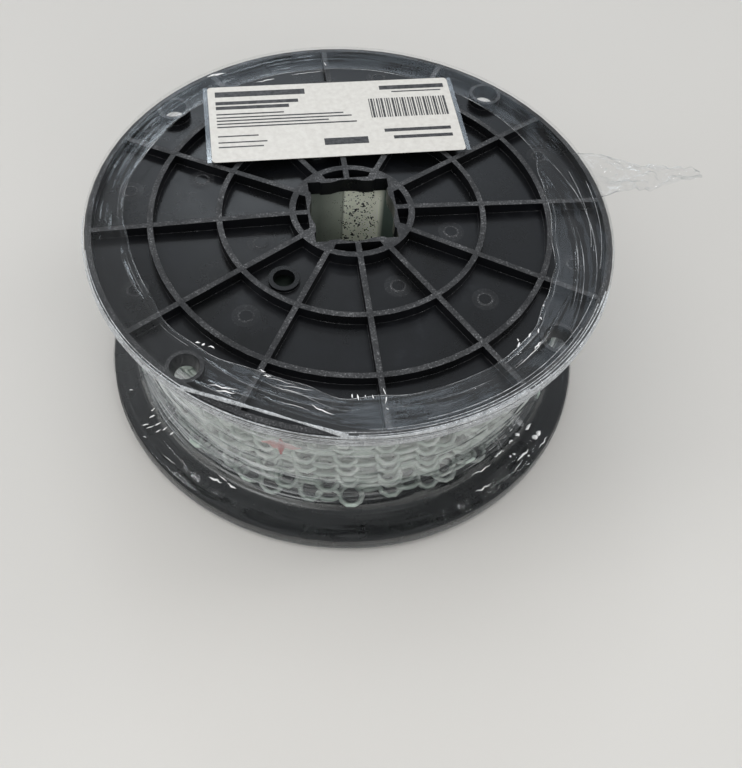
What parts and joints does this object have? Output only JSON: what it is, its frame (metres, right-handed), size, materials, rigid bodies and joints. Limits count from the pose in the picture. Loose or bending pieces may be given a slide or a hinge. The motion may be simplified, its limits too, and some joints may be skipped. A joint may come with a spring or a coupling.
{
  "type": "reel of steel jack chain",
  "caption": "Black plastic reel with ribbed flanges and a square arbor hole, wound full of zinc-plated jack chain and wrapped in clear stretch film, with a bare paper label on top.",
  "frame": {"origin": "on the reel's spindle axis, halfway between the two flanges", "axes": "+Z along the spindle axis, up through the flange that carries the label; +Y from the axis towards the label; +X along a rib, towards the torn film end"},
  "size_m": [0.3083, 0.2496, 0.1081],
  "materials": {
    "black_plastic": "moulded satin black, ribs scuffed grey",
    "paperboard": "grey recycled paperboard with black specks",
    "zinc_plated_steel": "bright zinc-plated wire",
    "red_plastic": "thin red plastic strip",
    "clear_film": "glossy clear stretch film, pleated at the rims",
    "label_paper": "white semi-gloss label paper"
  },
  "bodies": {
    "root": {"top_flange": "black_plastic", "bottom_flange": "black_plastic", "core_tube": "paperboard", "chain_winding": "zinc_plated_steel", "end_tie": "red_plastic", "wrap_film": "clear_film", "film_over_top_rim": "clear_film", "film_over_bottom_rim": "clear_film", "film_tail": "clear_film", "label": "label_paper"}
  },
  "joints": []
}
